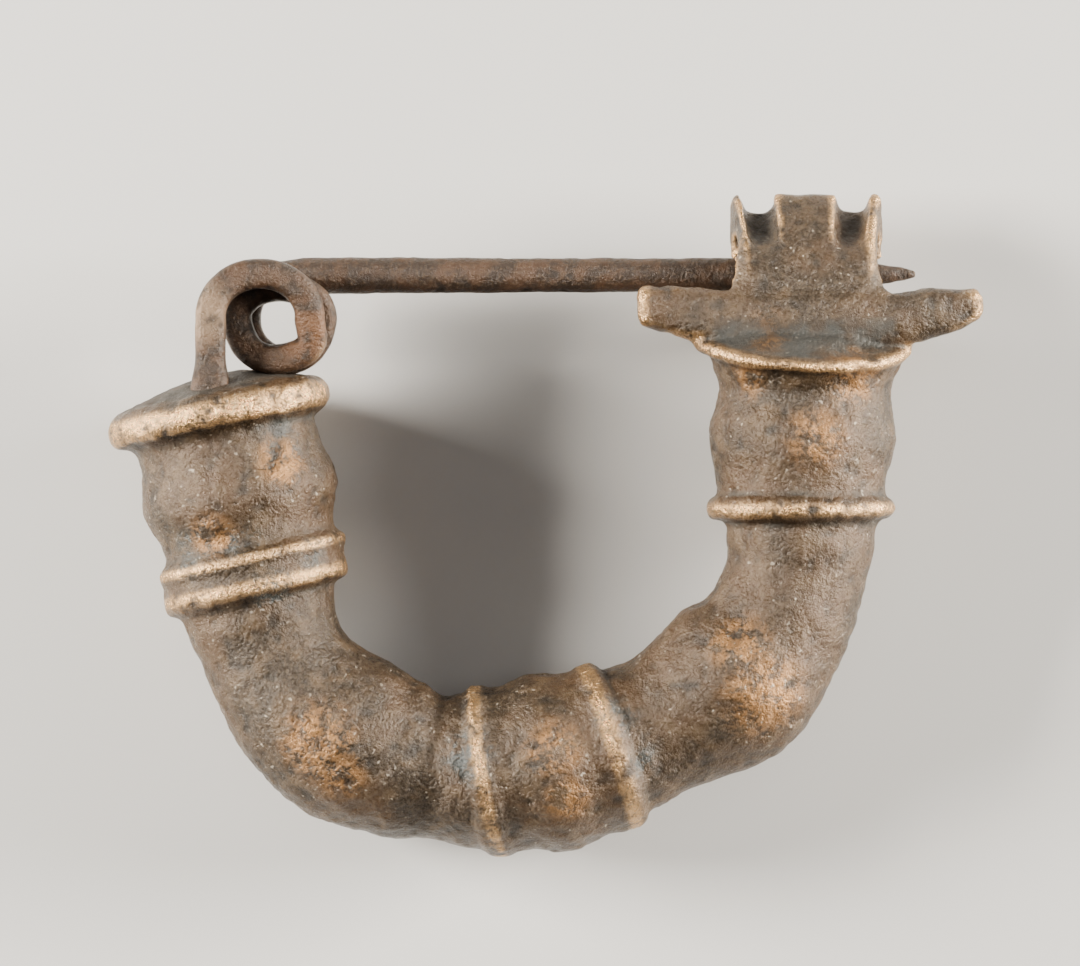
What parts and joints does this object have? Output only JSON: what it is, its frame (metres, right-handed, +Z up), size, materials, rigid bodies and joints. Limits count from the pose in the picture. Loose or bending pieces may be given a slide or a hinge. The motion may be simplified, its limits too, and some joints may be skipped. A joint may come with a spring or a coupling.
{
  "type": "bow brooch (fibula)",
  "caption": "Cast bronze bow brooch: a thick bow with turned beads and rings, an abacus at each end, a horned and fluted catch, and a coiled wire spring with a straight pin.",
  "frame": {"origin": "centre of the brooch's outline, on the surface it lies on", "axes": "+X runs along the pin from the spring to the catch, +Y from the bow to the pin, +Z up from the surface the brooch lies on"},
  "size_m": [0.05, 0.038, 0.0127],
  "materials": {
    "cast_bronze": "worn brown-grey patina with bright rubbed ridges and blue-grey verdigris in the grooves",
    "wire_bronze": "rough red-brown patina"
  },
  "bodies": {
    "bow": {"bow_and_catch": "cast_bronze"},
    "pin": {"spring_and_pin": "wire_bronze"}
  },
  "joints": [
    {"name": "spring_hinge", "type": "hinge", "parent": "bow", "child": "pin", "pos_m": [-0.01521, 0.01186, 0.00651], "axis": [0.0146, -0.0467, 0.9988], "range_deg": [-1.2, 1.5], "stiffness_Nm_per_rad": 0.05}
  ]
}
